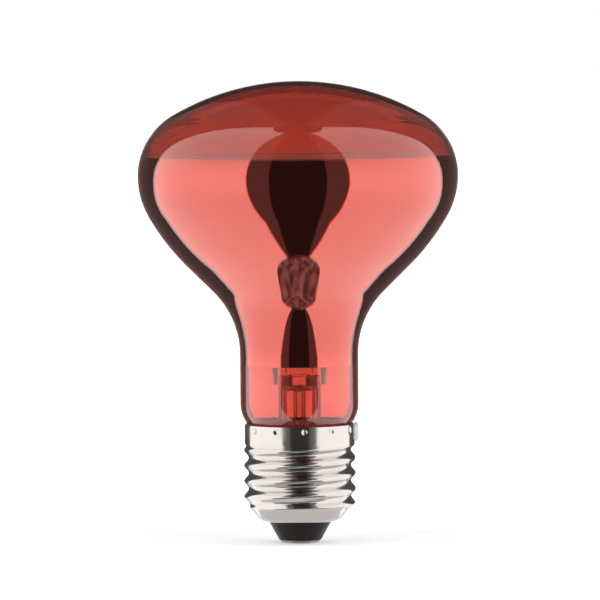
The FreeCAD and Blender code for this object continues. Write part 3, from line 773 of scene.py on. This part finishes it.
class HEATLAMP_OT_dress_mount(Operator):
    """Finish the glass mount, its rods, leads and hooks"""
    bl_idname = "heatlamp.dress_mount"
    bl_label = "Dress mount"

    def execute(self, context):
        colours = context.scene.lamp_colours
        dress("glass_stem", clear_glass(colours, context.scene.lamp_mount))
        drawn = {"scale": 1500.0, "depth": 0.00001, "stretch": (1.0, 1.0, 0.1)}
        rod = metal("nickel_wire", colours.rod, rough=0.2, **drawn)
        copper = metal("copper_wire", colours.copper, rough=0.25, **drawn)
        hook = metal("molybdenum_wire", colours.hook, rough=0.3, **drawn)
        for side in ("left", "right"):
            dress("inner_lead_" + side, rod)
            dress("seal_wire_" + side, copper)
        for lead in ("outer_lead_centre", "outer_lead_side"):
            dress(lead, copper)
        for place in (1, 2, 3, 4):
            dress(f"support_wire_{place}", hook)
        return {"FINISHED"}


class HEATLAMP_OT_dress_cap(Operator):
    """Finish the insulator, the contacts, the solder and the cement"""
    bl_idname = "heatlamp.dress_cap"
    bl_label = "Dress cap"

    def execute(self, context):
        colours = context.scene.lamp_colours
        solder = metal("solder", colours.solder, rough=0.3, scale=700.0, depth=0.00006)
        dress("cap_insulator", black_glass(colours))
        dress("centre_contact", metal("tinned_contact", colours.contact, rough=0.4,
                                      scale=600.0, depth=0.00002))
        dress("centre_solder", solder)
        dress("side_solder", solder)
        dress("capping_cement", cement(colours))
        return {"FINISHED"}


# ---- stage

FLOOR_RINGS, FLOOR_FACETS = (0.0, 0.2, 0.6, 3.0), 64
LAYER = 0.0001  # from one card on the floor to the next, in metres


def seen(tree):
    """1 for what the camera, a reflection or a clear piece sees, and 0 for matt surfaces."""
    path = tree.node("ShaderNodeLightPath")
    shown = path["Is Camera Ray"] + path["Is Glossy Ray"] + path["Is Transmission Ray"]
    return shown.math("MINIMUM", 1.0)


def glowing(name, brightness, level=None):
    """A glowing or dark card for the stage, even or with a level of its own."""
    card = Finish(name)
    tone = card.grey(level(card) if level else 1.0)
    glow = card.node("ShaderNodeEmission", None, {"Color": tone, "Strength": brightness})
    card.node("ShaderNodeOutputMaterial", None, {"Surface": glow})
    return card.material


def falling(card):
    """The level of the softboxes: less near the lamp and higher up."""
    return (card.ease(card.away(), 0.04, 0.6, start=0.9, end=1.0)
            * card.ease(card.axis("Z"), 0.05, 0.8, start=1.0, end=0.78))


def painted_shade_level(card):
    """The level of the painted shade in front of the cap: a mottled dark spot that shows only in
    reflections.
    """
    return card.ease(card.noise(210.0, detail=1.0), 0.35, 0.65, start=0.5, end=1.8)


def lit_floor():
    """Pale floor that keeps the shadow and goes to white away from the lamp."""
    finish = Finish("pale_floor")
    glow = finish.ease(finish.away(), 0.03, 0.25, start=0.35, end=1.0) * seen(finish)
    pale, paler = (0.8, 0.8, 0.8), (0.83, 0.83, 0.83)
    return finish.shade(Base_Color=finish.blend(finish.noise(40.0, detail=3.0), pale, paler),
                        Roughness=0.9, Specular_IOR_Level=0.1,
                        Emission_Color=finish.grey(glow), Emission_Strength=1.0)


def strip(name, corners, material, lights=False):
    """A card from two rows of corners, left to reflections and, where it lights them, to
    matt surfaces."""
    steps = len(corners) // 2
    faces = [(step, step + 1, steps + step + 1, steps + step) for step in range(steps - 1)]
    made = piece(name, corners, faces)
    made.data.materials.append(material)
    made.visible_camera = made.visible_shadow = False
    made.visible_diffuse = lights


def card(name, start, end, foot, top, reach, material, lights=False):
    """An upright curved card between two bearings, counted from the camera to the right.
    A pair stands for the bearings at its foot and at its top."""
    bearings = np.linspace(np.broadcast_to(start, 2), np.broadcast_to(end, 2), 25)
    corners = [(reach * math.sin(turn), -reach * math.cos(turn), z)
               for z, ring in zip((foot, top), bearings.T) for turn in ring]
    strip(name, corners, material, lights)


def mat(name, start, end, inner, outer, height, material, front=0.0):
    """A level card between two bearings and two distances from a point of the axis, or from
    one in front of it."""
    corners = [(reach * math.sin(turn), -front - reach * math.cos(turn), height)
               for reach in (inner, outer) for turn in np.linspace(start, end, 49)]
    strip(name, corners, material)


def set_cards(studio):
    """The softboxes and the dark cards, which lie in thin layers where they share the floor."""
    reach, full = studio.tent, math.pi
    head, opening = reach * math.tan(studio.head), reach * math.tan(studio.gap_rise)
    softbox = glowing("softbox", studio.softbox, falling)
    front = glowing("front_flag", studio.flag_front)
    wing = glowing("wing_flag", studio.flag_wing)
    back = glowing("back_flag", studio.flag_back)
    # Painted shade: a dark mottled card in front of the cap, seen only in reflections
    painted_shade_spot = glowing("painted_shade_spot", studio.painted_shade_spot, painted_shade_level)
    skirt = glowing("skirt", studio.skirt)
    low, high = studio.back_edge, studio.back_edge_high

    card("front_flag", -studio.front_edge, studio.front_edge, 0.0, head, reach, front)
    for side, sign in (("left", -1), ("right", 1)):
        front_edge, wing_edge, gap_edge = [
            sign * edge for edge in (studio.front_edge, studio.wing_edge, studio.gap_edge)]
        card("wing_" + side, front_edge, wing_edge, 0.0, head, reach, wing)
        for level, foot, top, edge in (("low", 0.0, reach, (low, high)),
                                       ("high", reach, head, (high, high))):
            edge = sign * np.array(edge)
            card(f"softbox_{level}_{side}", wing_edge, edge, foot, top, reach, softbox, True)
            card(f"back_flag_{level}_{side}", edge, gap_edge, foot, top, reach, back)
        mat("floor_back_" + side, sign * low, gap_edge, studio.dark_floor, reach, LAYER, back)
    card("rear_flag", studio.gap_edge, 2 * full - studio.gap_edge, opening, head, reach, front)
    mat("ceiling_flag", -full, full, 0.0, reach, head, front)
    mat("floor_glow", -low, low, studio.skirt_radius, reach, LAYER, softbox)
    mat("floor_wing", -studio.wing_turn, studio.wing_turn, 0.0, reach, 2 * LAYER, wing,
        studio.wing_tip)
    mat("floor_flag", -studio.flag_turn, studio.flag_turn, 0.0, reach, 3 * LAYER, front,
        studio.flag_tip)
    # Painted shade on the floor in front of the cap, seen only in reflections
    mat("floor_painted_shade", -full, full, 0.0, studio.painted_shade_radius, 4 * LAYER, painted_shade_spot, studio.painted_shade_place)
    # Painted light under the cap, where the lamp shades the floor, seen only in reflections
    mat("floor_skirt", -full, full, studio.skirt_hole, studio.skirt_radius, 5 * LAYER, skirt)


class HEATLAMP_OT_set_stage(Operator):
    """Set up the floor, the softboxes, the dark cards, the world and the camera"""
    bl_idname = "heatlamp.set_stage"
    bl_label = "Set stage"

    def execute(self, context):
        studio = context.scene.lamp_studio
        floor = lathe("studio_floor", [(ring, 0.0) for ring in FLOOR_RINGS], FLOOR_FACETS)
        floor.data.materials.append(lit_floor())
        set_cards(studio)

        world = bpy.data.worlds.new("studio")
        context.scene.world = world
        world.use_nodes = True
        sky = Tree(world.node_tree)
        strength = seen(sky) * (1.0 - studio.ambient) + studio.ambient
        light = sky.node("ShaderNodeBackground", None,
                         {"Color": (1.0, 1.0, 1.0, 1.0), "Strength": strength})
        sky.node("ShaderNodeOutputWorld", None, {"Surface": light})

        lens = bpy.data.cameras.new("camera")
        lens.lens = lens.sensor_width * studio.distance / studio.width
        lens.clip_start, lens.clip_end = 0.01, 50.0
        camera = bpy.data.objects.new("camera", lens)
        context.scene.collection.objects.link(camera)
        camera.location = (studio.aside, -studio.distance, studio.height)
        line = Vector((studio.aside, 0.0, studio.aim)) - camera.location
        turn = line.to_track_quat("-Z", "Y").to_matrix() @ Matrix.Rotation(studio.roll, 3, "Z")
        camera.rotation_euler = turn.to_euler()
        context.scene.camera = camera
        context.scene.view_settings.view_transform = "Standard"
        context.scene.cycles.max_bounces = 24
        context.scene.cycles.transmission_bounces = 20
        context.scene.cycles.glossy_bounces = 10
        return {"FINISHED"}


OPERATORS = (HEATLAMP_OT_blow_bulb, HEATLAMP_OT_coat_bulb, HEATLAMP_OT_roll_shell,
             HEATLAMP_OT_wind_coil, HEATLAMP_OT_dress_mount, HEATLAMP_OT_dress_cap,
             HEATLAMP_OT_set_stage)


class HEATLAMP_PT_sidebar(Panel):
    """Buttons of the heat lamp"""
    bl_label = "Heat lamp bulb"
    bl_space_type = "VIEW_3D"
    bl_region_type = "UI"
    bl_category = "Heat Lamp"

    def draw(self, context):
        for operator in OPERATORS:
            self.layout.operator(operator.bl_idname)
        for name, group in GROUPS:
            box = self.layout.box()
            for key in group.__annotations__:
                box.prop(getattr(context.scene, name), key)


CLASSES = tuple(group for name, group in GROUPS) + OPERATORS + (HEATLAMP_PT_sidebar,)


def register():
    for item in CLASSES:
        bpy.utils.register_class(item)
    for name, group in GROUPS:
        setattr(bpy.types.Scene, name, PointerProperty(type=group))


def unregister():
    for name, group in GROUPS:
        delattr(bpy.types.Scene, name)
    for item in reversed(CLASSES):
        bpy.utils.unregister_class(item)


def main():
    register()
    bpy.ops.heatlamp.blow_bulb()
    bpy.ops.heatlamp.coat_bulb()
    bpy.ops.heatlamp.roll_shell()
    bpy.ops.heatlamp.wind_coil()
    bpy.ops.heatlamp.dress_mount()
    bpy.ops.heatlamp.dress_cap()
    bpy.ops.heatlamp.set_stage()
    bpy.context.view_layer.update()


if __name__ == "__main__":
    main()
